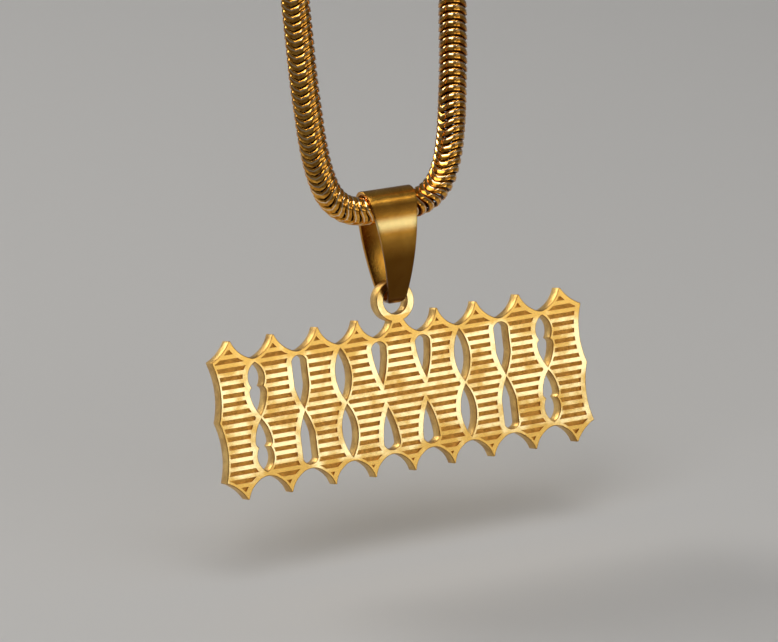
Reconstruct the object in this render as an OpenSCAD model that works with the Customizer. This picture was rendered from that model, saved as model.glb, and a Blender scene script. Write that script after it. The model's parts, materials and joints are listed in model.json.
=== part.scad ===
// Nameplate necklace: a pierced and etched plate with its own ring, hung from a folded strap bail
// on a round snake chain that closes in a barrel clasp. Millimetres, +Z up, front towards -Y.
// The origin is the centre of the clasp, the point by which the necklace hangs.

/* [Nameplate] */
// Width of the plate between its corner cusps
plate_w = 45.5; // [41:0.5:49]
// Height of the plate between its upper and lower arches
plate_h = 13; // [12:0.5:15]
// Thickness of the plate
plate_t = 1.7; // [1.4:0.1:2]
// Height of the spikes on the top edge
top_spike_h = 2.2; // [1.8:0.1:2.5]
// Height of the spikes on the bottom edge
bottom_spike_h = 2.2; // [2:0.1:2.6]
// Width of a spike's blunt tip
spike_tip_w = 0.2; // [0.1:0.05:0.3]
// Depth of the hollow arcs in the two sides
side_arc_h = 0.55; // [0.3:0.05:0.8]
// Width of the bridge of metal between a piercing and the arch beyond it
bridge_w = 0.5; // [0.4:0.05:0.7]
// Width of the raised border round the outline and the piercings
border_w = 0.45; // [0.4:0.05:0.6]
// Shift of the hatch to the left, which leaves a plain stripe on the right of each stem
hatch_shift = 0.2; // [0.1:0.05:0.3]
// Distance from one raised line to the next
line_pitch = 0.94; // [0.8:0.01:1.1]
// Width of a raised line
line_w = 0.45; // [0.4:0.05:0.6]
// Depth of the sunk ground between the lines
ground_depth = 0.25; // [0.15:0.05:0.4]

/* [Ring] */
// Bore of the ring on top of the plate
ring_bore = 2.9; // [2.8:0.1:3.2]
// Width of the ring's flat band
ring_band = 0.85; // [0.7:0.05:1]
// Height of the ring's centre above the upper arches
ring_rise = 3.7; // [3.5:0.1:4]
// Width of the neck that carries the ring
neck_w = 1.2; // [1:0.1:1.6]

/* [Bail] */
// Overall height of the folded strap
bail_h = 12.9; // [11:0.1:14]
// Width of the strap over the chain
bail_top_w = 6; // [5.5:0.1:7]
// Width of the strap at its foot, in the ring
bail_foot_w = 1.9; // [1.5:0.1:2]
// Thickness of the strap
strap_t = 0.4; // [0.3:0.05:0.5]
// Radius inside the bulge of the strap's front and back
bulge_r = 16; // [14:1:24]
// Radius of the corners at the foot
foot_corner_r = 0.75; // [0.5:0.05:0.8]

/* [Chain] */
// Diameter of the snake chain
chain_d = 3.2; // [3:0.1:3.3]
// Height of the loop between its centre lines
loop_h = 250; // [200:5:300]
// Widest part of the loop between its centre lines
loop_w = 42; // [40:1:50]

/* [Clasp] */
// Length of the barrel clasp
clasp_l = 16; // [14:1:20]
// Diameter of the barrel clasp
clasp_d = 5; // [4.6:0.1:5.6]
// Depth of the socket that holds each end of the chain
socket_l = 5; // [4:0.5:6]

/* [Pose] */
// Lean of the chain and the bail, from the upright
chain_lean = 8.4; // [4:0.1:12]
// Lean of the plate, from the upright
plate_lean = 17; // [14:0.5:20]

/* [Hidden] */
$fn = 96;

// Running gaps: bail on chain, ring on strap, ring between the leaves, chain in its socket
chain_gap = 0.2;
seat_gap = 0.1;
leaf_gap = 0.5;
socket_gap = 0.1;

// How far the bulging sides of the strap are sunk below a smooth join with its folds
BULGE_SINK = 0.02;

// Stems of the tracery from the middle outwards, as shares of half the plate's width
STEMS = [0, 0.215, 0.43, 0.665, 0.895];
// How far the end arches are centred past the last stem, as a share of what is left to the edge
END_ARCH = 1.3;
// Piercings between the stems: form, width and foot as shares of the arch and of half the height
FORM = 0;
WIDTH = 1;
FOOT = 2;
PIERCINGS = [["drop", 0.41, 0.2], ["vesica", 0.39, 0.02], ["slot", 0.33, 0.02], ["cusped", 0.38, 0.02]];
// Arches: floor radius as a share of half the chord, and the turn from the floor to the side arc
TOP_ARCH = [0.5, 30];
BOTTOM_ARCH = [0.8, 40];
// Angle at which the side arcs cross the floor arc
ARCH_KINK = 6;
// Radius of a round head as a share of its width, and the shares of a piercing's length taken by
// its pointed foot and by each lobe of a cusped one
HEAD_SHARE = 0.54;
POINT_SHARE = 0.42;
LOBE_SHARE = 0.57;

// Lower bend of the chain, from the bail outwards: half width and height above its lowest point
BEND_ROUTE = [[0, 0], [1.8, 0.02], [3.5, 0.12], [4.9, 0.55], [6.1, 1.4], [7.0, 2.6], [7.6, 4.1],
              [8.1, 6], [8.5, 8.5], [8.8, 11.5], [9.1, 15], [9.35, 20], [9.6, 25]];
// Straight run of chain outside the clasp, longest step along a strand and round a shoulder
STRAIGHT_RUN = 1;
STRAND_STEP = 10;
SHOULDER_STEP = 18;
CHAIN_SIDES = 8;

// Clasp: depth of its grooves and distance of the end ones from its ends, as shares of its diameter
GROOVE_SHARE = 0.08;
RIM_SHARE = 0.2;

half_w = plate_w / 2;
half_h = plate_h / 2;
ring_r = ring_bore / 2;
ring_v = half_h + ring_rise;
tilt = plate_lean - chain_lean;

last_stem = len(STEMS) - 1;
end_arch_u = half_w * (STEMS[last_stem] + (1 - STEMS[last_stem]) * END_ARCH);

// Arches of one edge on the right-hand side, a row for each: its middle and half its chord.
// Every spike has the same blunt tip but the middle one, which is as wide as middle_w
MIDDLE = 0;
CHORD = 1;
function arches(middle_w) = concat(
    [for (i = [0 : last_stem - 1])
        let (
            start = half_w * STEMS[i] + (i == 0 ? middle_w : spike_tip_w) / 2,
            end = half_w * STEMS[i + 1] - spike_tip_w / 2
        )
        [(start + end) / 2, (end - start) / 2]],
    [[end_arch_u, end_arch_u - half_w * STEMS[last_stem] - spike_tip_w / 2]]);
TOP_ARCHES = arches(neck_w);
BOTTOM_ARCHES = arches(spike_tip_w);

// Radius of an arc with chord half a and rise s
function arc_r(a, s) = (a * a + s * s) / (2 * s);

// Round-floored arch that opens upwards from its floor at the origin, c to each side and h high
module arch(c, h, form, grow) {
    r = form[0] * c;
    turn = form[1];
    leave = turn - ARCH_KINK;
    start = [r * sin(turn), r * (1 - cos(turn))];
    chord = [c, h] - start;
    side_r = norm(chord) / (2 * sin(atan2(chord[1], chord[0]) - leave));
    centre = start + side_r * [-sin(leave), cos(leave)];
    translate([0, r]) circle(r + grow);
    intersection() {
        translate(centre) circle(side_r + grow);
        translate([-centre[0], centre[1]]) circle(side_r + grow);
        translate([-plate_w, r - (r + grow) * cos(leave)]) square([2 * plate_w, plate_w]);
    }
}

// Solid outline of the plate without its ring, drawn in by inset
module outline(inset) {
    difference() {
        translate([-half_w, -half_h - bottom_spike_h + inset])
            square([plate_w, plate_h + bottom_spike_h + top_spike_h - 2 * inset]);
        for (side = [-1, 1]) {
            for (a = TOP_ARCHES)
                translate([side * a[MIDDLE], half_h]) arch(a[CHORD], top_spike_h, TOP_ARCH, inset);
            for (a = BOTTOM_ARCHES)
                translate([side * a[MIDDLE], -half_h]) mirror([0, 1])
                    arch(a[CHORD], bottom_spike_h, BOTTOM_ARCH, inset);
        }
        for (side = [-1, 1], level = [-1, 1]) {
            r = arc_r(half_h / 2, side_arc_h);
            translate([side * (half_w + r - side_arc_h), level * half_h / 2]) circle(r + inset);
        }
    }
}

// Lens with a point at each end, from the origin up to h
module vesica(w, h, grow) {
    r = arc_r(h / 2, w / 2);
    intersection() {
        translate([w / 2 - r, h / 2]) circle(r + grow);
        translate([r - w / 2, h / 2]) circle(r + grow);
    }
}

// Round-headed opening from the origin up to h, whose pointed foot takes the length point
module slot(w, h, point, grow) {
    head_r = HEAD_SHARE * w;
    side_v = (point + h) / 2;
    side_u = (w * w / 4 + point * point - 2 * point * side_v) / w;
    side_r = norm([side_u, side_v]) + grow;
    intersection() {
        translate([-w / 2 - grow, -h]) square([w + 2 * grow, 3 * h]);
        union() {
            translate([0, h - head_r]) circle(head_r + grow);
            translate([-w, -h]) square([2 * w, 2 * h - head_r]);
        }
        translate([side_u, side_v]) circle(side_r);
        translate([-side_u, side_v]) circle(side_r);
    }
}

module piercing(form, w, h, grow) {
    if (form == "vesica") vesica(w, h, grow);
    if (form == "slot") slot(w, h, h * POINT_SHARE, grow);
    if (form == "drop") slot(w, h, h - w / 2, grow);
    if (form == "cusped") {
        slot(w, h * LOBE_SHARE, h * LOBE_SHARE - w / 2, grow);
        translate([0, h * (1 - LOBE_SHARE)]) vesica(w, h * LOBE_SHARE, grow);
    }
}

// All the openings of the plate, grown by grow
module piercings(grow) {
    for (i = [0 : last_stem - 1], side = [-1, 1], level = [0, 1]) {
        p = PIERCINGS[i];
        a = level == 0 ? TOP_ARCHES[i] : BOTTOM_ARCHES[i];
        foot = half_h * p[FOOT] + spike_tip_w / 2;
        mirror([0, level]) translate([side * a[MIDDLE], foot])
            piercing(p[FORM], 2 * a[CHORD] * p[WIDTH], half_h - bridge_w - foot, grow);
    }
}

// Level bands of the sunk ground, one between each pair of raised lines
module ground_bands() {
    band = line_pitch - line_w;
    count = ceil((half_h + bottom_spike_h) / line_pitch);
    for (i = [-count : count])
        translate([-half_w, i * line_pitch - band / 2]) square([plate_w, band]);
}

// Sunk ground: the bands inside the border, up to the ring's band
module ground() {
    intersection() {
        ground_bands();
        translate([-hatch_shift, 0])
            difference() {
                outline(border_w);
                piercings(border_w);
            }
        difference() {
            outline(0);
            translate([0, ring_v]) circle(ring_r + ring_band);
        }
    }
}

// Plate lying on its back, its ring's centre at the origin
module flat_plate() {
    translate([0, -ring_v, -plate_t / 2])
        difference() {
            linear_extrude(plate_t)
                difference() {
                    union() {
                        outline(0);
                        translate([0, ring_v]) circle(ring_r + ring_band);
                    }
                    translate([0, ring_v]) circle(ring_r);
                    piercings(0);
                }
            translate([0, 0, plate_t - ground_depth])
                linear_extrude(plate_t) ground();
        }
}

// The strap's two folds, the upper one about the chain, and the middle of its front bulge
mouth_r = chain_d / 2 + chain_gap;
foot_r = plate_t / 2 + leaf_gap;
fold_span = bail_h - mouth_r - foot_r - 2 * strap_t;
bail_base = -fold_span - foot_r - strap_t;
bulge_v = (pow(bulge_r - foot_r, 2) - pow(bulge_r - mouth_r, 2) - fold_span * fold_span) / (2 * fold_span);
bulge_u = -sqrt(pow(bulge_r - mouth_r, 2) - bulge_v * bulge_v);
taper = (bail_top_w - bail_foot_w) / 2 / bail_h;

// Side view of the strap's inside, grown by grow: two folds joined by bulging sides, which are
// sunk a little so that they cross the folds at a definite angle
module fold_outline(grow) {
    upper_turn = atan2(-bulge_v, -bulge_u);
    lower_turn = atan2(fold_span + bulge_v, -bulge_u);
    upper_v = (mouth_r + grow) * sin(upper_turn);
    lower_v = -fold_span - (foot_r + grow) * sin(lower_turn);
    circle(mouth_r + grow);
    translate([0, -fold_span]) circle(foot_r + grow);
    intersection() {
        translate([bulge_u, bulge_v]) circle(bulge_r + grow - BULGE_SINK);
        translate([-bulge_u, bulge_v]) circle(bulge_r + grow - BULGE_SINK);
        translate([-bulge_r, lower_v]) square([2 * bulge_r, upper_v - lower_v]);
    }
}

// The ring hangs on the strap's edges where they cross its leaning faces
face_reach = plate_t / 2 + ring_r * sin(tilt);
fold_rise = sqrt(foot_r * foot_r - face_reach * face_reach);
strap_half = bail_foot_w / 2 + taper * (strap_t + foot_r - fold_rise);
seat_rise = sqrt(pow(ring_r - seat_gap, 2) - strap_half * strap_half);
ring_z = -fold_span - fold_rise - seat_rise + plate_t / 2 * sin(tilt);

// Front view of the strap: tapered, with rounded corners at the foot
module strap_front() {
    slope = atan(taper);
    corner_u = bail_foot_w / 2 + foot_corner_r * (taper - 1 / cos(slope));
    top_half = bail_top_w / 2;
    touch = [corner_u + foot_corner_r * cos(slope), foot_corner_r * (1 - sin(slope))];
    translate([0, bail_base]) {
        for (s = [-1, 1]) translate([s * corner_u, foot_corner_r]) circle(foot_corner_r);
        polygon([[-corner_u, 0], [corner_u, 0], touch, [top_half, bail_h], [-top_half, bail_h],
                 [-touch[0], touch[1]]]);
    }
}

// Folded strap, hung over a chain that runs along X through the origin
module folded_strap() {
    intersection() {
        rotate([90, 0, 90]) linear_extrude(bail_top_w, center = true)
            difference() {
                fold_outline(strap_t);
                fold_outline(0);
            }
        rotate([90, 0, 0]) linear_extrude(2 * bail_h, center = true) strap_front();
    }
}

// Route of the right-hand strand, from the bail up, over the shoulder and into the clasp
bend_end = BEND_ROUTE[len(BEND_ROUTE) - 1];
shoulder_u = clasp_l / 2 + STRAIGHT_RUN;
shoulder_r = loop_w / 2 - shoulder_u;
strand_rise = loop_h - shoulder_r - bend_end[1];
strand_lean = atan((loop_w / 2 - bend_end[0]) / strand_rise);
strand_steps = ceil(strand_rise / STRAND_STEP);
strand_end = [shoulder_u + shoulder_r * cos(strand_lean), loop_h - shoulder_r * (1 + sin(strand_lean))];
shoulder_steps = ceil((90 + strand_lean) / SHOULDER_STEP);
HALF_ROUTE = concat(
    BEND_ROUTE,
    [for (i = [1 : strand_steps - 1]) bend_end + (strand_end - bend_end) * i / strand_steps],
    [for (i = [0 : shoulder_steps])
        let (a = -strand_lean + (90 + strand_lean) * i / shoulder_steps)
        [shoulder_u + shoulder_r * cos(a), loop_h - shoulder_r + shoulder_r * sin(a)]],
    [[clasp_l / 2 - socket_l + socket_gap, loop_h]]);
half_count = len(HALF_ROUTE);
ROUTE = concat(
    [for (i = [half_count - 1 : -1 : 1]) [-HALF_ROUTE[i][0], HALF_ROUTE[i][1]]],
    HALF_ROUTE);

// Tube swept along a route in the XZ plane
module tube(route, r, sides) {
    last = len(route) - 1;
    points = [for (i = [0 : last])
        let (
            step = route[min(i + 1, last)] - route[max(i - 1, 0)],
            along = step / norm(step)
        )
        for (k = [0 : sides - 1])
            let (a = 360 * k / sides)
            [route[i][0] - along[1] * r * cos(a), r * sin(a), route[i][1] + along[0] * r * cos(a)]];
    walls = [for (i = [0 : last - 1], k = [0 : sides - 1])
        let (n = (k + 1) % sides)
        [i * sides + k, i * sides + n, (i + 1) * sides + n, (i + 1) * sides + k]];
    ends = [[for (k = [sides - 1 : -1 : 0]) k], [for (k = [0 : sides - 1]) last * sides + k]];
    polyhedron(points, concat(walls, ends));
}

// Turned barrel along X with a socket at each end
module barrel() {
    groove = clasp_d * GROOVE_SHARE;
    rotate([0, 90, 0])
        difference() {
            union() {
                cylinder(h = clasp_l - 2 * groove, d = clasp_d, center = true);
                cylinder(h = clasp_l, d = clasp_d - 2 * groove, center = true);
            }
            for (end = [-1, 1]) {
                translate([0, 0, end * clasp_l / 2])
                    cylinder(h = 2 * socket_l, r = chain_d / 2 + socket_gap, center = true);
                translate([0, 0, end * (clasp_l / 2 - clasp_d * RIM_SHARE)]) ring_groove(groove);
            }
            ring_groove(groove);
        }
}

// Round-bottomed groove turned into the barrel
module ring_groove(groove) {
    rotate_extrude() translate([clasp_d / 2, 0]) circle(groove);
}

// Frame of the chain and the bail: the origin is the chain's centre in the bail
module in_loop() {
    rotate([-chain_lean, 0, 0]) translate([0, 0, -loop_h]) children();
}

module chain() {
    color([0.83, 0.62, 0.24]) in_loop() tube(ROUTE, chain_d / 2, CHAIN_SIDES);
}

module clasp() {
    color([0.86, 0.66, 0.30]) in_loop() translate([0, 0, loop_h]) barrel();
}

module bail() {
    color([0.72, 0.52, 0.18]) in_loop() folded_strap();
}

module nameplate() {
    color([0.93, 0.76, 0.42])
        in_loop() translate([0, 0, ring_z]) rotate([-tilt, 0, 0]) rotate([90, 0, 0]) flat_plate();
}

chain();
clasp();
bail();
nameplate();
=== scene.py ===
"""Looks of a nameplate necklace: a pierced plate, its strap bail, a round snake chain and a clasp.

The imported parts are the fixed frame. Lengths are in metres and angles in degrees, +Z is up and the
front looks towards -Y. The loop frame, in which the chain and the bail are drawn, has its origin at
the middle of the chain in the bail, X along the plate and Z up the leaning loop. A piece's edges
are rounded where they are steeper than its angle sharp, and left hard in the shading where they
are steeper than its angle crease.
"""

import json
import logging
import math
from dataclasses import dataclass, field
from enum import Enum
from typing import Any, Callable, Sequence

import bpy
import numpy as np
from mathutils import Matrix, Quaternion, Vector

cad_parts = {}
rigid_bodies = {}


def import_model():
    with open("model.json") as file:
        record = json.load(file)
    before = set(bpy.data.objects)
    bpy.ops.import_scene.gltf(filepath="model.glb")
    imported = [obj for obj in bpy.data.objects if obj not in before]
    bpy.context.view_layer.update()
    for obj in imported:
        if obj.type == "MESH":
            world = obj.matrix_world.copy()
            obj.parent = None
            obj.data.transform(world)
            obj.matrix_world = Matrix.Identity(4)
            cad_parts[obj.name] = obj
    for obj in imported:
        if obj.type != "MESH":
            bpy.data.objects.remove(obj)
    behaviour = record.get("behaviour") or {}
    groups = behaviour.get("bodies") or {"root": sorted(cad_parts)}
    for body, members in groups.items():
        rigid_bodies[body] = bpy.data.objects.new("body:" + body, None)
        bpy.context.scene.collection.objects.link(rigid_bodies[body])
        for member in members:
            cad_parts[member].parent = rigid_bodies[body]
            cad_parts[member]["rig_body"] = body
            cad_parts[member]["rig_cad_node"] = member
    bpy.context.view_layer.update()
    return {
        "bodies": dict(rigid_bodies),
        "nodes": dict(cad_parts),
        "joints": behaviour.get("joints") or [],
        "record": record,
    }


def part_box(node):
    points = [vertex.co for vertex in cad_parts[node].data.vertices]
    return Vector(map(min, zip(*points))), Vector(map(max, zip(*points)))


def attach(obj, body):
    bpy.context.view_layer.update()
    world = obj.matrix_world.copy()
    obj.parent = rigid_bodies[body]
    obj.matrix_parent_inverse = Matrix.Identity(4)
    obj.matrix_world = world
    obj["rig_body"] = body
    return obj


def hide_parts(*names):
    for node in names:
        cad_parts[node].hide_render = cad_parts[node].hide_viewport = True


LOG = logging.getLogger("necklace")
MM = 0.001
DOUBLED = 0.001 * MM
Colour = tuple[float, float, float]
Span = tuple[float, float]


class Surface(Enum):
    """The kinds of face on the pierced plate, in the order of its material slots."""

    FACE = 0
    GROUND = 1
    WALL = 2
    EDGE = 3


class Strand(Enum):
    """The two strands of the chain's loop. The value is the sense in which the links are laid."""

    LEFT = -1
    RIGHT = 1


class MixSocket(Enum):
    """Numbers of a Mix node's colour sockets, whose names the node uses more than once."""

    SHARE = 0
    FIRST = 6
    SECOND = 7
    RESULT = 2


# Small helpers on objects and meshes


def deselect() -> None:
    """Leaves edit mode, with nothing selected."""
    if bpy.context.object and bpy.context.object.mode != "OBJECT":
        bpy.ops.object.mode_set(mode="OBJECT")
    bpy.ops.object.select_all(action="DESELECT")


def only(piece: bpy.types.Object) -> None:
    """Makes one object the selected and active one.

    Args:
        piece: the object.
    """
    deselect()
    piece.select_set(True)
    bpy.context.view_layer.objects.active = piece


def apply_modifier(piece: bpy.types.Object, kind: str, **settings: Any) -> None:
    """Adds a modifier and applies it.

    Args:
        piece: the object to change.
        kind: the modifier's type, such as BEVEL.
        settings: the modifier's own settings.
    """
    only(piece)
    modifier = piece.modifiers.new(kind.title(), kind)
    for name, value in settings.items():
        setattr(modifier, name, value)
    bpy.ops.object.modifier_apply(modifier=modifier.name)


def move_points(piece: bpy.types.Object, rule: Callable[[np.ndarray], np.ndarray]) -> None:
    """Moves all points of a mesh by one rule.

    Args:
        piece: the object whose mesh is changed.
        rule: takes the points, as rows of x, y and z, and returns them moved.
    """
    points = np.empty(len(piece.data.vertices) * 3)
    piece.data.vertices.foreach_get("co", points)
    piece.data.vertices.foreach_set("co", rule(points.reshape(-1, 3)).ravel())
    piece.data.update()


def outward_normals(piece: bpy.types.Object) -> None:
    """Merges doubled points, which lie less than DOUBLED apart, and turns the faces outwards.

    Args:
        piece: the object whose mesh is changed.
    """
    only(piece)
    bpy.ops.object.mode_set(mode="EDIT")
    bpy.ops.mesh.select_all(action="SELECT")
    bpy.ops.mesh.remove_doubles(threshold=DOUBLED)
    bpy.ops.mesh.normals_make_consistent(inside=False)
    bpy.ops.object.mode_set(mode="OBJECT")


def smooth(piece: bpy.types.Object, degrees: float) -> None:
    """Shades piece smooth but for the edges sharper than degrees."""
    only(piece)
    bpy.ops.object.shade_smooth_by_angle(angle=math.radians(degrees))


def turned(profile: Sequence[Span], sides: int, closed: bool) -> bpy.types.Object:
    """Turns a profile about Z, as on a lathe.

    Args:
        profile: radius and height of each point, from the first ring to the last.
        sides: points on each ring.
        closed: whether the last ring is bridged back to the first, or both are capped.

    Returns:
        The new object, with its faces turned outwards.
    """
    deselect()
    radius, height = profile[0]
    fill = "NOTHING" if closed else "NGON"
    bpy.ops.mesh.primitive_circle_add(
        vertices=sides, radius=radius, fill_type=fill, location=(0, 0, 0)
    )
    piece = bpy.context.object
    bpy.ops.object.mode_set(mode="EDIT")
    bpy.ops.mesh.select_all(action="SELECT")
    bpy.ops.transform.translate(value=(0, 0, height))
    for next_radius, next_height in profile[1:]:
        if closed:
            bpy.ops.mesh.extrude_edges_move()
        else:
            bpy.ops.mesh.extrude_region_move()
        bpy.ops.transform.translate(value=(0, 0, next_height - height))
        scale = next_radius / radius
        bpy.ops.transform.resize(value=(scale, scale, 1), center_override=(0, 0, 0))
        radius, height = next_radius, next_height
    if closed:
        bpy.ops.object.mode_set(mode="OBJECT")
        count = len(piece.data.vertices)
        for vertex in piece.data.vertices:
            vertex.select = vertex.index < sides or vertex.index >= count - sides
        bpy.ops.object.mode_set(mode="EDIT")
        bpy.ops.mesh.select_mode(type="VERT")
        bpy.ops.mesh.select_mode(type="EDGE")
        bpy.ops.mesh.bridge_edge_loops()
    bpy.ops.object.mode_set(mode="OBJECT")
    outward_normals(piece)
    return piece


# Materials


@dataclass(frozen=True)
class Wire:
    """A value or colour in a material's node tree; arithmetic on it adds Math nodes."""

    paint: "Paint"
    socket: bpy.types.NodeSocket

    def _math(self, operation: str, *values: "float | Wire") -> "Wire":
        """Adds a Math node and returns its result."""
        inputs = dict(enumerate(values))
        return self.paint.node("ShaderNodeMath", {"operation": operation}, inputs).wire("Value")

    def __add__(self, other: "float | Wire") -> "Wire":
        """self + other."""
        return self._math("ADD", self, other)

    def __radd__(self, other: float) -> "Wire":
        """other + self."""
        return self._math("ADD", other, self)

    def __sub__(self, other: "float | Wire") -> "Wire":
        """self - other."""
        return self._math("SUBTRACT", self, other)

    def __rsub__(self, other: float) -> "Wire":
        """other - self."""
        return self._math("SUBTRACT", other, self)

    def __mul__(self, other: "float | Wire") -> "Wire":
        """self * other."""
        return self._math("MULTIPLY", self, other)

    def __rmul__(self, other: float) -> "Wire":
        """other * self."""
        return self._math("MULTIPLY", other, self)

    def __abs__(self) -> "Wire":
        """The size of self without its sign."""
        return self._math("ABSOLUTE", self)

    def ramp(self, low: float, high: float) -> "Wire":
        """Climbs smoothly from 0 to 1.

        Args:
            low: the value up to which the result is 0.
            high: the value from which it is 1.

        Returns:
            The eased result.
        """
        settings = {"interpolation_type": "SMOOTHSTEP"}
        inputs = {"Value": self, "From Min": low, "From Max": high}
        return self.paint.node("ShaderNodeMapRange", settings, inputs).wire("Result")


@dataclass(frozen=True)
class Made:
    """A node that has been added to a material."""

    paint: "Paint"
    node: bpy.types.Node

    def wire(self, output: str) -> Wire:
        """The output socket of that name."""
        return Wire(self.paint, self.node.outputs[output])


class Paint:
    """Builds one procedural material around a Principled shader."""

    def __init__(self, name: str) -> None:
        """Starts an empty material.

        Args:
            name: the material's name.
        """
        self.material = bpy.data.materials.new(name)
        self.material.use_nodes = True
        self.tree = self.material.node_tree
        self.tree.nodes.clear()
        self.place = self.node("ShaderNodeTexCoord", {}, {}).wire("Object")

    def node(self, kind: str, settings: dict[str, Any], inputs: dict[Any, Any]) -> Made:
        """Adds a node.

        Args:
            kind: the node's type.
            settings: its own properties, which are set first.
            inputs: values or wires for its sockets, by name or number.

        Returns:
            The node, ready to be wired on.
        """
        node = self.tree.nodes.new(kind)
        for name, value in settings.items():
            setattr(node, name, value)
        for name, value in inputs.items():
            if isinstance(value, Wire):
                self.tree.links.new(value.socket, node.inputs[name])
            else:
                node.inputs[name].default_value = value
        return Made(self, node)

    def stretched(self, scale: Sequence[float], turn: float = 0.0) -> Wire:
        """Object coordinates for a pattern that is drawn out along an axis.

        Args:
            scale: factor along each axis; a small one draws the pattern out along it.
            turn: turn about X in degrees, which comes before the scaling.

        Returns:
            The coordinates.
        """
        turned_place = self.node(
            "ShaderNodeMapping",
            {"vector_type": "POINT"},
            {"Vector": self.place, "Rotation": (math.radians(turn), 0, 0)},
        ).wire("Vector")
        inputs = {0: turned_place, 1: tuple(scale)}
        return self.node("ShaderNodeVectorMath", {"operation": "MULTIPLY"}, inputs).wire("Vector")

    def along(self, axis: str) -> Wire:
        """The object coordinate along X, Y or Z."""
        return self.node("ShaderNodeSeparateXYZ", {}, {"Vector": self.place}).wire(axis)

    def noise(self, place: Wire, size: float, detail: float = 2.0, rough: float = 0.5) -> Wire:
        """Cloudy noise from 0 to 1, whose largest patches are about size across."""
        inputs = {"Vector": place, "Scale": 1 / size, "Detail": detail, "Roughness": rough}
        return self.node("ShaderNodeTexNoise", {}, inputs).wire("Fac")

    def specks(self, place: Wire, size: float) -> Wire:
        """Distance to the nearest of many scattered points, in cells about size across."""
        inputs = {"Vector": place, "Scale": 1 / size}
        return self.node("ShaderNodeTexVoronoi", {"feature": "F1"}, inputs).wire("Distance")

    def mix(self, amount: Wire, low: "Colour | Wire", high: "Colour | Wire") -> Wire:
        """Mixes two colours.

        Args:
            amount: share of the second colour, which is held between 0 and 1.
            low: the first colour.
            high: the second colour.

        Returns:
            The mixed colour.
        """
        settings = {"data_type": "RGBA", "blend_type": "MIX"}
        first, second = (c if isinstance(c, Wire) else (*c, 1.0) for c in (low, high))
        inputs = {
            MixSocket.SHARE.value: amount,
            MixSocket.FIRST.value: first,
            MixSocket.SECOND.value: second,
        }
        made = self.node("ShaderNodeMix", settings, inputs)
        return Wire(self, made.node.outputs[MixSocket.RESULT.value])

    def attribute(self, name: str) -> Wire:
        """The value of the mesh's own attribute of that name."""
        return self.node("ShaderNodeAttribute", {"attribute_name": name}, {}).wire("Fac")

    def metal(
        self, colour: Wire, roughness: Wire, height: Wire, depth: float
    ) -> bpy.types.Material:
        """Finishes the material as bare metal.

        Args:
            colour: the metal's colour.
            roughness: its roughness.
            height: relief from 0 to 1.
            depth: depth of the relief in metres.

        Returns:
            The finished material.
        """
        bump = self.node("ShaderNodeBump", {}, {"Height": height, "Distance": depth})
        inputs = {
            "Base Color": colour,
            "Roughness": roughness,
            "Metallic": 1.0,
            "Normal": bump.wire("Normal"),
        }
        shader = self.node("ShaderNodeBsdfPrincipled", {}, inputs).wire("BSDF")
        self.node("ShaderNodeOutputMaterial", {}, {"Surface": shader})
        return self.material


@dataclass(frozen=True)
class PolishedFace:
    """Raised lines and border of the plate: pale gold, polished, with a faint drawn grain.

    The gold is deeper towards the tips of the spikes. Heights are taken up and down from middle,
    and the ring stands above ring_foot.
    """

    light: Colour = (1.0, 0.835, 0.44)
    deep: Colour = (0.66, 0.405, 0.1)
    lean: float = 17.0
    middle: float = 0.0
    spike_foot: float = 4.5 * MM
    spike_tip: float = 7.5 * MM
    ring_foot: float = 8.3 * MM
    ring_clear: float = 8.7 * MM
    spike_shade: float = 0.35
    grain: float = 0.05 * MM
    grain_stretch: float = 0.08
    cloud: float = 2.6 * MM
    cloud_span: Span = (0.4, 0.7)
    pit: float = 0.3 * MM
    pit_span: Span = (0.06, 0.14)
    relief: float = 0.004 * MM

    def material(self) -> bpy.types.Material:
        """Builds the finish.

        Returns:
            The material.
        """
        paint = Paint("pale_gold_polished")
        drawn = paint.stretched((self.grain_stretch, 1, 1), self.lean)
        grain = paint.noise(drawn, self.grain, 3.0)
        cloud = paint.noise(paint.place, self.cloud, 3.0)
        pits = paint.specks(paint.place, self.pit).ramp(*self.pit_span)
        height = abs(paint.along("Z") - self.middle)
        ring = height.ramp(self.ring_foot, self.ring_clear)
        spikes = height.ramp(self.spike_foot, self.spike_tip) - ring
        shade = (cloud + self.spike_shade * spikes).ramp(*self.cloud_span)
        colour = paint.mix(shade, self.light, self.deep)
        rough = 0.13 + 0.1 * cloud + 0.07 * grain
        return paint.metal(colour, rough, grain * 0.5 + pits * 0.5, self.relief)


@dataclass(frozen=True)
class EtchedGround:
    """Sunk ground between the lines: brownish matt gold, speckled by the etching."""

    light: Colour = (1.0, 0.53, 0.11)
    deep: Colour = (0.52, 0.22, 0.035)
    speckle: float = 0.12 * MM
    patch: float = 0.7 * MM
    tone_span: Span = (0.36, 0.64)
    relief: float = 0.03 * MM

    def material(self) -> bpy.types.Material:
        """Builds the finish.

        Returns:
            The material.
        """
        paint = Paint("etched_ground")
        speckle = paint.noise(paint.place, self.speckle, 4.0, 0.7)
        patch = paint.noise(paint.place, self.patch, 2.0)
        tone = (speckle * 0.7 + patch * 0.3).ramp(*self.tone_span)
        colour = paint.mix(tone, self.deep, self.light)
        return paint.metal(colour, 0.34 + 0.25 * speckle, speckle, self.relief)


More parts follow.
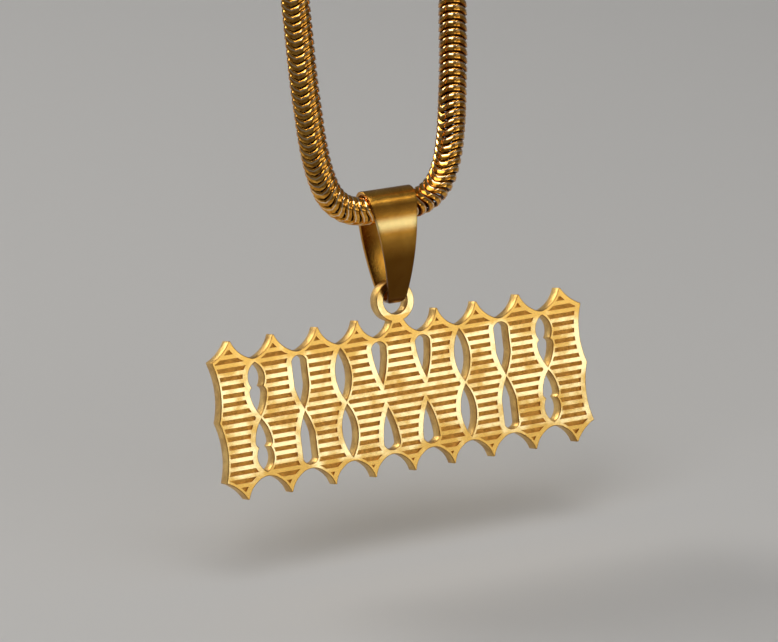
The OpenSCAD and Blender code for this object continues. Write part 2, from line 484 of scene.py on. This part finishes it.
@dataclass(frozen=True)
class SandedWall:
    """Cut edges of the plate: gold with the fine sandy grain that the cutting leaves."""

    light: Colour = (1.0, 0.68, 0.22)
    deep: Colour = (0.56, 0.29, 0.06)
    grit: float = 0.09 * MM
    cloud: float = 1.5 * MM
    tone_span: Span = (0.36, 0.62)
    relief: float = 0.024 * MM

    def material(self) -> bpy.types.Material:
        """Builds the finish.

        Returns:
            The material.
        """
        paint = Paint("cut_edge_gold")
        grit = paint.noise(paint.place, self.grit, 3.0, 0.65)
        cloud = paint.noise(paint.place, self.cloud, 2.0)
        tone = (grit * 0.6 + cloud * 0.4).ramp(*self.tone_span)
        colour = paint.mix(tone, self.deep, self.light)
        return paint.metal(colour, 0.26 + 0.2 * grit, grit, self.relief)


@dataclass(frozen=True)
class DarkEdge:
    """Rounded edges between the plate's faces and its cut sides, where the gold is painted dark as a
    painted reflection of dark surroundings.
    """

    light: Colour = (0.6, 0.33, 0.09)
    deep: Colour = (0.3, 0.13, 0.025)
    grit: float = 0.12 * MM
    cloud: float = 1.2 * MM
    tone_span: Span = (0.3, 0.66)
    relief: float = 0.006 * MM

    def material(self) -> bpy.types.Material:
        """Builds the finish.

        Returns:
            The material.
        """
        paint = Paint("edge_gold_painted_dark")
        grit = paint.noise(paint.place, self.grit, 3.0, 0.6)
        cloud = paint.noise(paint.place, self.cloud, 2.0)
        # The dark colours are a painted reflection of the dark surroundings along the rounded edge.
        tone = (grit * 0.5 + cloud * 0.5).ramp(*self.tone_span)
        colour = paint.mix(tone, self.deep, self.light)
        return paint.metal(colour, 0.3 + 0.2 * grit, grit, self.relief)


@dataclass(frozen=True)
class SatinStrap:
    """The bail: deep satin gold, with a painted highlight across its shoulder and painted shade
    above and below it.

    A span lies between two heights on the front leaf, as StrapBail.rises gives them. Painted shade
    darkens the gold at the foot, lifts over leaf_span, darkens it again over shoulder_span, and is
    gone from crown_span on. light is the colour of the painted highlight across the shoulder.
    """

    light: Colour = (1.0, 0.9, 0.43)
    middle: Colour = (0.76, 0.39, 0.06)
    deep: Colour = (0.48, 0.2, 0.022)
    # Colour of the painted shade.
    shade_colour: Colour = (0.09, 0.03, 0.003)
    attribute: str = "rise"
    # Amounts and spans of the painted shade at the foot, across the leaf, on the shoulder and at the
    # crown.
    foot_shade: float = 0.88
    leaf_clear: float = 0.66
    leaf_span: Span = (0.57, 0.8)
    shoulder_shade: float = 0.5
    shoulder_span: Span = (0.89, 1.03)
    crown_clear: float = 0.72
    crown_span: Span = (1.045, 1.085)
    # Share and spans of the painted highlight across the shoulder.
    highlight_band_share: float = 0.52
    highlight_band_foot: Span = (0.81, 0.89)
    highlight_band_head: Span = (0.9, 0.97)
    grain: float = 0.1 * MM
    line: float = 0.06 * MM
    line_stretch: float = 0.05
    cloud: float = 2.0 * MM
    tone_span: Span = (0.25, 0.7)
    relief: float = 0.011 * MM

    def material(self) -> bpy.types.Material:
        """Builds the finish.

        Returns:
            The material.
        """
        paint = Paint("satin_deep_gold")
        rise = paint.attribute(self.attribute)
        grain = paint.noise(paint.place, self.grain, 3.0, 0.6)
        drawn = paint.stretched((1, self.line_stretch, self.line_stretch))
        lines = paint.noise(drawn, self.line, 2.0)
        cloud = paint.noise(paint.place, self.cloud, 2.0)
        tone = grain * 0.45 + cloud * 0.55
        gilt = paint.mix(tone.ramp(*self.tone_span), self.deep, self.middle)
        # Painted shade: the gold is darkened at the foot and above the shoulder, where dark
        # reflections would fall.
        foot = self.foot_shade - self.leaf_clear * rise.ramp(*self.leaf_span)
        crown = self.crown_clear * rise.ramp(*self.crown_span)
        shoulder = self.shoulder_shade * rise.ramp(*self.shoulder_span) - crown
        shaded_gilt = paint.mix(foot + shoulder, gilt, self.shade_colour)
        # Painted highlight: a pale stripe across the shoulder, where the light's reflection would
        # fall.
        highlight_band = rise.ramp(*self.highlight_band_foot) * (1 - rise.ramp(*self.highlight_band_head))
        colour = paint.mix(highlight_band * self.highlight_band_share, shaded_gilt, self.light)
        rough = 0.19 + 0.12 * grain
        return paint.metal(colour, rough, grain * 0.6 + lines * 0.4, self.relief)


@dataclass(frozen=True)
class PolishedLinks:
    """The chain: bright gold on the rounded links, with a painted highlight near the top of each
    link's wall and painted shade, dark brown, in the gaps between them.
    """

    light: Colour = (0.95, 0.47, 0.075)
    deep: Colour = (0.56, 0.22, 0.02)
    # Colours of the painted highlight on the links and of the painted shade in the gaps between
    # them.
    highlight_colour: Colour = (1.0, 0.84, 0.6)
    gap_shade: Colour = (0.06, 0.02, 0.004)
    attribute: str = "gap_shade"
    gap_shade_span: Span = (0.15, 0.9)
    link_highlight_span: Span = (0.28, 0.46)
    link_highlight_share: float = 0.8
    cloud: float = 0.5 * MM
    tone_span: Span = (0.35, 0.65)
    fine: float = 0.1 * MM
    relief: float = 0.006 * MM

    def material(self) -> bpy.types.Material:
        """Builds the finish.

        Returns:
            The material.
        """
        paint = Paint("chain_bright_gold")
        cloud = paint.noise(paint.place, self.cloud, 3.0, 0.6)
        fine = paint.noise(paint.place, self.fine, 2.0)
        darkness = paint.attribute(self.attribute)
        # Painted shade in the gaps between links, where the section is marked dark.
        sunk = darkness.ramp(*self.gap_shade_span)
        gilt = paint.mix(cloud.ramp(*self.tone_span), self.deep, self.light)
        # Painted highlight where the section is marked below zero, near the top of each link's wall.
        link_highlight = (0 - darkness).ramp(*self.link_highlight_span) * self.link_highlight_share
        gold = paint.mix(link_highlight, gilt, self.highlight_colour)
        colour = paint.mix(sunk, gold, self.gap_shade)
        rough = 0.08 + 0.07 * cloud + 0.35 * sunk
        return paint.metal(colour, rough, fine * 0.5 + cloud * 0.5, self.relief)


@dataclass(frozen=True)
class TurnedBarrel:
    """The clasp: bright gold with the rings that turning leaves."""

    light: Colour = (1.0, 0.79, 0.42)
    deep: Colour = (0.88, 0.6, 0.24)
    ring: float = 0.09 * MM
    ring_stretch: float = 0.02
    cloud: float = 1.8 * MM
    tone_span: Span = (0.35, 0.65)
    relief: float = 0.005 * MM

    def material(self) -> bpy.types.Material:
        """Builds the finish.

        Returns:
            The material.
        """
        paint = Paint("clasp_turned_gold")
        around = paint.stretched((1, self.ring_stretch, self.ring_stretch))
        rings = paint.noise(around, self.ring, 3.0)
        cloud = paint.noise(paint.place, self.cloud, 2.0)
        colour = paint.mix(cloud.ramp(*self.tone_span), self.deep, self.light)
        return paint.metal(colour, 0.13 + 0.14 * rings, rings, self.relief)


# The pieces


@dataclass(frozen=True)
class Loop:
    """The leaning loop that the chain and the bail are drawn in."""

    foot: Vector
    lean: float
    height: float

    @classmethod
    def of(cls, frame: dict[str, Any]) -> "Loop":
        """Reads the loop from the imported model.

        Args:
            frame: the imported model, whose origin is the loop's head.

        Returns:
            The loop, with its foot at the joint of the bail.
        """
        joint = next(j for j in frame["joints"] if j["name"] == "bail_swing")
        foot = Vector(joint["pos_m"])
        return cls(foot, math.atan2(-foot.y, -foot.z), foot.length)

    def place(self, piece: bpy.types.Object) -> None:
        """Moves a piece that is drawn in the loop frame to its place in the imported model.

        Args:
            piece: the object whose mesh is moved.
        """
        turn = np.array(Matrix.Rotation(-self.lean, 3, "X"))
        foot = np.array(self.foot)
        move_points(piece, lambda points: points @ turn.T + foot)


@dataclass
class SnakeChain:
    """Round snake chain: waved rings with rounded lips, one nested in the next.

    A row of bend is a place of the right-hand strand in millimetres, to the right of and above
    the bail. A row of section is a corner of a link's wall: its radius as a share of the
    chain's, its height as a share of the pitch, and its painted light, from -1 where a highlight is
    painted to 1 where shade is painted in the gaps. A link rises and falls by wave twice round its
    rim, and crest flattens the tops.
    The links are rolled about the chain by valley. On the right-hand strand, from twist_from past
    the bail, that angle falls by twist within twist_over.
    """

    loop: Loop
    diameter: float = 3.2 * MM
    loop_width: float = 42 * MM
    clasp_length: float = 16 * MM
    socket_depth: float = 4.4 * MM
    straight_run: float = 1 * MM
    pitch: float = 0.89 * MM
    wave: float = 0.42 * MM
    crest: float = 0.08 * MM
    valley: float = 44.0
    twist: float = 68.0
    twist_from: float = 9 * MM
    twist_over: float = 12 * MM
    sides: int = 16
    run_points: int = 24
    crease: float = 58.0
    bend: Sequence[Span] = (
        (0, 0), (1.8, 0.02), (3.5, 0.12), (4.9, 0.55), (6.1, 1.4), (7.0, 2.6), (7.6, 4.1),
        (8.1, 6), (8.5, 8.5), (8.8, 11.5), (9.1, 15), (9.35, 20), (9.6, 25),
    )
    section: Sequence[tuple[float, float, float]] = (
        (0.84, -0.5, 1.0), (1.0, -0.36, 0.25), (0.97, 0.18, -0.5), (0.82, 0.46, 0.9),
    )

    def half_route(self) -> np.ndarray:
        """Draws the right-hand strand in the loop's plane.

        Returns:
            Its points, from the bail round the shoulder into the clasp.
        """
        bend = np.array(self.bend) * MM
        start = bend[-1]
        shoulder = self.clasp_length / 2 + self.straight_run
        radius = self.loop_width / 2 - shoulder
        rise = self.loop.height - radius - start[1]
        lean = math.atan2(self.loop_width / 2 - start[0], rise)
        centre = np.array([shoulder, self.loop.height - radius])
        turns = np.linspace(-lean, math.pi / 2, self.run_points)
        arc = centre + radius * np.stack([np.cos(turns), np.sin(turns)], axis=1)
        strand = np.linspace(start, arc[0], self.run_points)[1:-1]
        end = np.array([[self.clasp_length / 2 - self.socket_depth, self.loop.height]])
        return np.concatenate([bend, strand, arc, end])

    def route(self) -> tuple[np.ndarray, np.ndarray]:
        """Sets out the links along both strands on one smooth curve.

        Returns:
            The centre of each link in the loop's plane, and its unit direction, in order from
            the left end in the clasp, through the bail, to the right end.
        """
        half = self.half_route()
        knots = np.concatenate([half[:0:-1] * [-1, 1], half])
        reach = np.concatenate([[0], np.cumsum(np.linalg.norm(np.diff(knots, axis=0), axis=1))])
        slopes = np.gradient(knots, reach, axis=0)
        count = round(reach[-1] / self.pitch)
        along = (np.arange(count) + 0.5) * reach[-1] / count
        at = np.clip(np.searchsorted(reach, along) - 1, 0, len(knots) - 2)
        span = (reach[at + 1] - reach[at])[:, None]
        t = (along - reach[at])[:, None] / span
        places = (
            (1 + 2 * t) * (1 - t) ** 2 * knots[at]
            + t * (1 - t) ** 2 * span * slopes[at]
            + t * t * (3 - 2 * t) * knots[at + 1]
            + t * t * (t - 1) * span * slopes[at + 1]
        )
        ways = np.gradient(places, axis=0)
        return places, ways / np.linalg.norm(ways, axis=1)[:, None]

    def link(self, strand: Strand) -> tuple[np.ndarray, np.ndarray, np.ndarray]:
        """Models one link about Z, with its lip at the bottom.

        Args:
            strand: the strand that it is for. The waves have their flat tops ahead and behind
                on the right, and their narrow feet there on the left.

        Returns:
            Its points, its faces and how dark each point is.
        """
        radius = self.diameter / 2
        profile = [(r * radius, z * self.pitch) for r, z, _ in self.section]
        link = turned(profile, self.sides, closed=True)
        points = np.array([v.co for v in link.data.vertices])
        faces = np.array([p.vertices for p in link.data.polygons])
        bpy.data.objects.remove(link)
        _, heights, dark = np.transpose(self.section)
        darkness = np.interp(points[:, 2], heights * self.pitch, dark)
        angle = np.arctan2(points[:, 0], points[:, 1])
        waves = strand.value * self.wave * np.cos(2 * angle)
        points[:, 2] += waves - self.crest * np.cos(4 * angle)
        return points, faces, darkness

    def rolls(self, count: int) -> np.ndarray:
        """Works out how far each link is rolled about the chain, which twists past the bail.

        Args:
            count: number of links.

        Returns:
            Angle from the front of the loop to a wave's middle on each link, in radians.
        """
        past = (np.arange(count) - count // 2) * self.pitch - self.twist_from
        eased = np.clip(past / self.twist_over, 0, 1)
        return np.radians(self.valley - self.twist * eased * eased * (3 - 2 * eased))

    def woven(self) -> tuple[np.ndarray, np.ndarray, np.ndarray]:
        """Lays a copy of the link at each place of the route.

        Returns:
            All points in the loop frame, all faces, and how dark each point is.
        """
        links = {strand: self.link(strand) for strand in Strand}
        places, ways = self.route()
        count = len(places)
        front = np.array([0.0, -1.0, 0.0])
        points, faces, darkness = [], [], []
        for number, (place, way, roll) in enumerate(zip(places, ways, self.rolls(count))):
            strand = Strand.LEFT if number < count // 2 else Strand.RIGHT
            corners, sides, dark = links[strand]
            centre = np.array([place[0], 0.0, place[1]])
            up = strand.value * np.array([way[0], 0.0, way[1]])
            side = np.cross(front, up)
            turn = -strand.value * roll
            right = np.cos(turn) * side - np.sin(turn) * front
            ahead = np.sin(turn) * side + np.cos(turn) * front
            points.append(centre + corners @ np.stack([right, ahead, up]))
            faces.append(sides + number * len(corners))
            darkness.append(dark)
        return np.concatenate(points), np.concatenate(faces), np.concatenate(darkness)

    def build(self) -> bpy.types.Object:
        """Models the chain in its place and dresses it.

        Returns:
            The chain.
        """
        points, faces, darkness = self.woven()
        finish = PolishedLinks()
        mesh = bpy.data.meshes.new("snake_chain")
        mesh.from_pydata(points.tolist(), [], faces.tolist())
        # The attribute carries the painted shade in the gaps and the painted highlight on the links.
        shades = mesh.attributes.new(finish.attribute, "FLOAT", "POINT")
        shades.data.foreach_set("value", darkness.astype(np.float32))
        chain = bpy.data.objects.new("snake_chain", mesh)
        bpy.context.scene.collection.objects.link(chain)
        self.loop.place(chain)
        smooth(chain, self.crease)
        chain.data.materials.append(finish.material())
        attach(chain, "chain_loop")
        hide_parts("chain")
        LOG.info("snake_chain: %d faces", len(mesh.polygons))
        return chain


@dataclass
class StrapBail:
    """Tapered strap folded over the chain and through the plate's ring.

    The radii are those of the strap's inner side, and back_rise is the height that its back leaf
    has for the finish, at which it gets no painted shade or painted highlight.
    """

    loop: Loop
    height: float = 12.9 * MM
    top_width: float = 6 * MM
    foot_width: float = 1.9 * MM
    thickness: float = 0.4 * MM
    mouth_radius: float = 1.8 * MM
    foot_radius: float = 1.35 * MM
    bulge_radius: float = 16 * MM
    corner_radius: float = 0.75 * MM
    edge_radius: float = 0.07 * MM
    back_rise: float = 1.2
    steps: int = 144
    strips: int = 8
    sharp: float = 50.0
    crease: float = 40.0

    def half_width(self, height: np.ndarray) -> np.ndarray:
        """Works out the taper and the rounded foot.

        Args:
            height: heights above the strap's lowest point.

        Returns:
            Half the width of the strap at each height.
        """
        taper = (self.top_width - self.foot_width) / 2 / self.height
        side = self.foot_width / 2 + taper * height
        r = self.corner_radius
        inner = self.foot_width / 2 + r * (taper - math.hypot(1, taper))
        round_end = inner + np.sqrt(np.maximum(r * r - (r - np.minimum(height, r)) ** 2, 0))
        return np.minimum(side, np.where(height < r, round_end, side))

    def folded(self, points: np.ndarray) -> np.ndarray:
        """Draws the hoop out into the strap's long, bulging fold.

        Args:
            points: points of the hoop. The angle of each becomes that of the strap's surface.

        Returns:
            The points on the strap's outer side, with their places along X kept.
        """
        upper = self.mouth_radius + self.thickness
        lower = self.foot_radius + self.thickness
        bulge = self.bulge_radius + self.thickness
        span = self.height - upper - lower
        rise = ((bulge - lower) ** 2 - (bulge - upper) ** 2 - span**2) / (2 * span)
        reach = -math.sqrt((bulge - upper) ** 2 - rise**2)
        steep = np.arcsin(np.clip(points[:, 2], -1, 1))
        zones = [steep > math.atan2(-rise, -reach), steep < -math.atan2(span + rise, -reach)]
        radius = np.select(zones, [upper, lower], bulge)
        depth = np.select(zones, [0, 0], reach) + radius * np.cos(steep)
        height = np.select(zones, [0, -span], rise) + radius * np.sin(steep)
        return np.stack([points[:, 0], np.sign(points[:, 1]) * depth, height], axis=1)

    def tapered(self, points: np.ndarray) -> np.ndarray:
        """Draws each row of points in or out to the strap's width at its height.

        Args:
            points: points of the folded strap, from -1 to 1 along X.

        Returns:
            The points at their real width.
        """
        foot = self.mouth_radius + self.thickness - self.height
        half = self.half_width(np.maximum(points[:, 2] - foot, 0))
        return np.stack([points[:, 0] * half, points[:, 1], points[:, 2]], axis=1)

    def rises(self, bail: bpy.types.Object) -> list[float]:
        """Works out the heights that the finish's painted shade and painted highlight follow.

        Args:
            bail: the bail in the loop frame.

        Returns:
            For each point, 1 at the middle of the upper fold and less down the front leaf, as a
            share of the bail's height, and back_rise on the back leaf.
        """
        points = [vertex.co for vertex in bail.data.vertices]
        return [1 + p.z / self.height if p.y < 0 else self.back_rise for p in points]

    def hoop(self) -> bpy.types.Object:
        """Models a thin hoop of unit radius about X, in strips from -1 to 1 along it.

        Returns:
            The hoop, from which the strap is drawn out.
        """
        deselect()
        bpy.ops.mesh.primitive_circle_add(
            vertices=self.steps, radius=1, location=(0, 0, 0), rotation=(0, math.pi / 2, 0)
        )
        hoop = bpy.context.object
        bpy.ops.object.transform_apply(location=True, rotation=True, scale=True)
        bpy.ops.object.mode_set(mode="EDIT")
        bpy.ops.mesh.select_all(action="SELECT")
        bpy.ops.transform.translate(value=(-1, 0, 0))
        for _ in range(self.strips):
            bpy.ops.mesh.extrude_edges_move()
            bpy.ops.transform.translate(value=(2 / self.strips, 0, 0))
        bpy.ops.object.mode_set(mode="OBJECT")
        return hoop

    def build(self) -> bpy.types.Object:
        """Models the bail in its place and dresses it.

        Returns:
            The bail.
        """
        bail = self.hoop()
        bail.name = bail.data.name = "strap_bail"
        move_points(bail, self.folded)
        outward_normals(bail)
        apply_modifier(bail, "SOLIDIFY", thickness=self.thickness, offset=-1)
        move_points(bail, self.tapered)
        apply_modifier(
            bail, "BEVEL", width=self.edge_radius, segments=3, limit_method="ANGLE",
            angle_limit=math.radians(self.sharp),
        )
        finish = SatinStrap()
        # The rise attribute places the finish's painted shade and painted highlight.
        rises = bail.data.attributes.new(finish.attribute, "FLOAT", "POINT")
        rises.data.foreach_set("value", self.rises(bail))
        self.loop.place(bail)
        smooth(bail, self.crease)
        bail.data.materials.append(finish.material())
        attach(bail, "bail")
        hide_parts("bail")
        LOG.info("strap_bail: %d faces", len(bail.data.polygons))
        return bail


@dataclass
class BarrelClasp:
    """Turned barrel over the ends of the chain, with a groove in its middle and near each end."""

    loop: Loop
    length: float = 16 * MM
    diameter: float = 5 * MM
    bore: float = 3.4 * MM
    socket_depth: float = 5 * MM
    groove: float = 0.4 * MM
    groove_share: float = 0.7
    rim: float = 1 * MM
    rim_share: float = 0.95
    edge_radius: float = 0.12 * MM
    sides: int = 64
    sharp: float = 40.0
    crease: float = 35.0

    def profile(self) -> list[Span]:
        """Draws the barrel's outline.

        Returns:
            Radius and height of its points, from the floor of one socket to the other.
        """
        half, full = self.length / 2, self.diameter / 2
        bore, floor = self.bore / 2, self.length / 2 - self.socket_depth
        near, step = half - self.rim, self.groove
        slope = step * self.groove_share
        upper = [
            (full - step, 0), (full - slope, slope), (full, step),
            (full, near - step), (full - slope, near - slope), (full - step, near),
            (full - slope, near + slope), (full, near + step * self.rim_share),
            (full - step, half), (bore, half), (bore, floor),
        ]
        return [(r, -z) for r, z in reversed(upper[1:])] + upper

    def build(self) -> bpy.types.Object:
        """Models the clasp in its place and dresses it.

        Returns:
            The clasp.
        """
        clasp = turned(self.profile(), self.sides, closed=False)
        clasp.name = clasp.data.name = "barrel_clasp"
        apply_modifier(
            clasp, "BEVEL", width=self.edge_radius, segments=3, limit_method="ANGLE",
            angle_limit=math.radians(self.sharp),
        )
        head = self.loop.height
        move_points(clasp, lambda p: np.stack([p[:, 2], p[:, 1], head - p[:, 0]], axis=1))
        outward_normals(clasp)
        self.loop.place(clasp)
        smooth(clasp, self.crease)
        clasp.data.materials.append(TurnedBarrel().material())
        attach(clasp, "chain_loop")
        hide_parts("clasp")
        LOG.info("barrel_clasp: %d faces", len(clasp.data.polygons))
        return clasp


@dataclass
class PiercedPlate:
    """The flat pierced plate with its ring, its cut edges broken and its ground etched."""

    cad: bpy.types.Object
    pivot: Vector
    normal: Vector
    thickness: float = 1.7 * MM
    ring_above_middle: float = 10.2 * MM
    ground_depth: float = 0.25 * MM
    outline_edge: float = 0.08 * MM
    line_edge: float = 0.025 * MM
    merge_gap: float = 0.002 * MM
    flat_limit: float = 0.5
    sharp: float = 60.0
    crease: float = 38.0
    wall_cosine: float = 0.5
    face_cosine: float = 0.9999

    @classmethod
    def of(cls, frame: dict[str, Any]) -> "PiercedPlate":
        """Reads the plate's ring and face from its joint."""
        joint = next(j for j in frame["joints"] if j["name"] == "plate_swing")
        return cls(frame["nodes"]["nameplate"], Vector(joint["pos_m"]), Vector(joint["axis"]))

    def middle(self) -> Vector:
        """The middle of the plate, which lies straight below its ring along its face."""
        return self.pivot - self.ring_above_middle * self.normal.cross(Vector((1, 0, 0)))

    def surface(self, centre: Vector, normal: Vector) -> Surface:
        """Tells the kinds of face apart.

        Args:
            centre: a face's centre.
            normal: the direction in which it looks.

        Returns:
            Its kind, for a face of the sharp-edged plate.
        """
        if abs(normal.dot(self.normal)) < self.wall_cosine:
            return Surface.WALL
        height = (centre - self.pivot).dot(self.normal)
        sunk = normal.dot(self.normal) > 0 and height < self.thickness / 2 - self.ground_depth / 2
        return Surface.GROUND if sunk else Surface.FACE

    def merged_copy(self) -> bpy.types.Object:
        """Copies the solid's mesh and merges its loose triangles into flat faces.

        Returns:
            The new object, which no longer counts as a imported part.
        """
        plate = self.cad.copy()
        plate.data = self.cad.data.copy()
        plate.name = plate.data.name = "pierced_plate"
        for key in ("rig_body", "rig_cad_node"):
            if key in plate:
                del plate[key]
        plate.parent = None
        bpy.context.scene.collection.objects.link(plate)
        only(plate)
        bpy.ops.object.mode_set(mode="EDIT")
        bpy.ops.mesh.select_all(action="SELECT")
        bpy.ops.mesh.remove_doubles(threshold=self.merge_gap)
        bpy.ops.mesh.dissolve_limited(angle_limit=math.radians(self.flat_limit))
        bpy.ops.object.mode_set(mode="OBJECT")
        return plate

    def finish(self, plate: bpy.types.Object) -> None:
        """Gives each face of the sharp-edged plate its finish.

        Args:
            plate: the merged plate.
        """
        plate.data.materials.clear()
        face = PolishedFace(middle=self.middle().z)
        for finish in (face, EtchedGround(), SandedWall(), DarkEdge()):
            plate.data.materials.append(finish.material())
        for polygon in plate.data.polygons:
            polygon.material_index = self.surface(polygon.center, polygon.normal).value

    def weigh_outline(self, mesh: bpy.types.Mesh) -> None:
        """Marks the edges between a flat side and a cut side that runs through the plate.

        Args:
            mesh: the plate's mesh, with its finishes given.
        """
        sides: dict[tuple[int, int], list[bool]] = {}
        for polygon in mesh.polygons:
            height = (polygon.center - self.pivot).dot(self.normal)
            flat = polygon.material_index == Surface.FACE.value
            if flat or abs(height) < self.thickness / 4:
                for key in polygon.edge_keys:
                    sides.setdefault(key, []).append(flat)
        weights = [float(sorted(sides.get(edge.key, [])) == [False, True]) for edge in mesh.edges]
        mesh.attributes.new("bevel_weight_edge", "FLOAT", "EDGE").data.foreach_set("value", weights)

    def round_edges(self, plate: bpy.types.Object) -> None:
        """Rounds the outline, breaks the edges of the lines and shades the faces flat.

        Args:
            plate: the plate with its finishes given.
        """
        self.weigh_outline(plate.data)
        # The rounded outline takes the DarkEdge finish, whose dark colour is a painted reflection.
        apply_modifier(
            plate, "BEVEL", width=self.outline_edge, segments=2, limit_method="WEIGHT",
            material=Surface.EDGE.value, use_clamp_overlap=False,
        )
        apply_modifier(
            plate, "BEVEL", width=self.line_edge, segments=1, limit_method="ANGLE",
            angle_limit=math.radians(self.sharp), use_clamp_overlap=True,
        )
        smooth(plate, self.crease)
        for polygon in plate.data.polygons:
            if abs(polygon.normal.dot(self.normal)) > self.face_cosine:
                polygon.use_smooth = False

    def build(self) -> bpy.types.Object:
        """Makes the plate from its solid's mesh and dresses it.

        Returns:
            The plate.
        """
        plate = self.merged_copy()
        self.finish(plate)
        self.round_edges(plate)
        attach(plate, "nameplate")
        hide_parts("nameplate")
        LOG.info("pierced_plate: %d faces", len(plate.data.polygons))
        return plate


# Floor, light and camera


def direction(azimuth: float, elevation: float) -> Vector:
    """Unit vector from the object towards a place seen at those angles; azimuth 0 is the front."""
    a, e = math.radians(azimuth), math.radians(elevation)
    return Vector((math.sin(a) * math.cos(e), -math.cos(a) * math.cos(e), math.sin(e)))


@dataclass(frozen=True)
class Softbox:
    """A rectangular soft light that looks at the plate.

    Its place is an azimuth and an elevation in degrees and a distance, its size a width and a
    height, all in metres.
    """

    name: str
    azimuth: float
    elevation: float
    distance: float
    width: float
    height: float
    watts: float
    spread: float = 180.0
    colour: Colour = (1.0, 0.97, 0.92)

    def build(self, target: Vector) -> None:
        """Hangs the light in its place.

        Args:
            target: the point that it looks at, from which its place is measured.
        """
        data = bpy.data.lights.new(self.name, "AREA")
        data.shape = "RECTANGLE"
        data.size, data.size_y = self.width, self.height
        data.energy, data.color = self.watts, self.colour
        data.spread = math.radians(self.spread)
        light = bpy.data.objects.new(self.name, data)
        light.location = target + self.distance * direction(self.azimuth, self.elevation)
        light.rotation_euler = (target - light.location).to_track_quat("-Z", "Y").to_euler()
        bpy.context.scene.collection.objects.link(light)


@dataclass
class Studio:
    """Pale floor, soft lights and the camera at the photograph's angle.

    The camera stands at an azimuth, an elevation and a distance, looks to the right of and above
    target by aim_right and aim_up, and is rolled by roll.
    """

    target: Vector
    plate_foot: float
    swing_room: float = 9 * MM
    floor_half: float = 3.0
    floor_patch: float = 0.6
    floor_tones: tuple[Colour, Colour] = ((0.6, 0.6, 0.6), (0.64, 0.635, 0.63))
    floor_roughness: float = 0.7
    sky: tuple[float, float, float, float] = (0.8, 0.82, 0.85, 1)
    sky_strength: float = 0.17
    azimuth: float = -27.0
    elevation: float = 20.0
    distance: float = 574 * MM
    lens: float = 240.6
    sensor: float = 36.0
    clip: Span = (0.01, 20)
    aim_right: float = -1.66 * MM
    aim_up: float = 7.83 * MM
    roll: float = 0.625
    lights: Sequence[Softbox] = field(
        default_factory=lambda: (
            Softbox("key_softbox", 25.5, 13.4, 0.9, 0.5, 0.18, watts=0.5),
            Softbox("fill_softbox", 30, 33, 0.9, 0.6, 0.3, watts=0.15),
            Softbox("line_softbox", 40, 55, 0.88, 0.5, 0.09, watts=0.34),
            Softbox("front_softbox", -5, 19, 0.9, 0.3, 0.22, watts=0.2),
            Softbox("left_softbox", -57, 50, 0.9, 0.6, 0.26, watts=1.6),
            Softbox("rim_softbox", -152, 27, 0.9, 0.5, 0.35, watts=0.45, spread=60.0),
            Softbox("top_softbox", -20, 80, 1.1, 0.6, 0.6, watts=2.6),
        )
    )

    def floor(self) -> None:
        """Lays the pale floor low enough for the plate to swing above it."""
        deselect()
        bpy.ops.mesh.primitive_plane_add(
            size=2 * self.floor_half, location=(0, 0, self.plate_foot - self.swing_room)
        )
        floor = bpy.context.object
        floor.name = "floor"
        paint = Paint("floor_pale")
        patches = paint.noise(paint.place, self.floor_patch, 2.0)
        colour = paint.mix(patches, *self.floor_tones)
        inputs = {"Base Color": colour, "Roughness": self.floor_roughness}
        shader = paint.node("ShaderNodeBsdfPrincipled", {}, inputs).wire("BSDF")
        paint.node("ShaderNodeOutputMaterial", {}, {"Surface": shader})
        floor.data.materials.append(paint.material)

    def surroundings(self) -> None:
        """Sets the even, dim light that comes from all round."""
        world = bpy.data.worlds.new("studio")
        world.use_nodes = True
        background = world.node_tree.nodes["Background"]
        background.inputs["Color"].default_value = self.sky
        background.inputs["Strength"].default_value = self.sky_strength
        scene = bpy.context.scene
        scene.world = world
        scene.view_settings.view_transform = "Standard"

    def camera(self) -> None:
        """Sets the camera at the photograph's viewing angle."""
        away = direction(self.azimuth, self.elevation)
        turn = away.to_track_quat("Z", "Y")
        right, up = turn @ Vector((1, 0, 0)), turn @ Vector((0, 1, 0))
        turn = turn @ Quaternion((0, 0, 1), math.radians(self.roll))
        data = bpy.data.cameras.new("camera")
        data.lens, data.sensor_width = self.lens, self.sensor
        data.clip_start, data.clip_end = self.clip
        camera = bpy.data.objects.new("camera", data)
        aim = self.target + self.aim_right * right + self.aim_up * up
        camera.location = aim + self.distance * away
        camera.rotation_euler = turn.to_euler()
        bpy.context.scene.collection.objects.link(camera)
        bpy.context.scene.camera = camera

    def build(self) -> None:
        """Makes the floor, the lights, the surroundings and the camera."""
        self.floor()
        for softbox in self.lights:
            softbox.build(self.target)
        self.surroundings()
        self.camera()


def main() -> None:
    """Builds the pieces in order, then the studio."""
    logging.basicConfig(level=logging.INFO, format="%(name)s %(message)s")
    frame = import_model()
    loop = Loop.of(frame)
    plate = PiercedPlate.of(frame)
    SnakeChain(loop).build()
    BarrelClasp(loop).build()
    StrapBail(loop).build()
    plate.build()
    low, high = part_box("nameplate")
    Studio(plate.middle(), low.z).build()
    LOG.info("nameplate box %s %s", low, high)


if __name__ == "__main__":
    main()
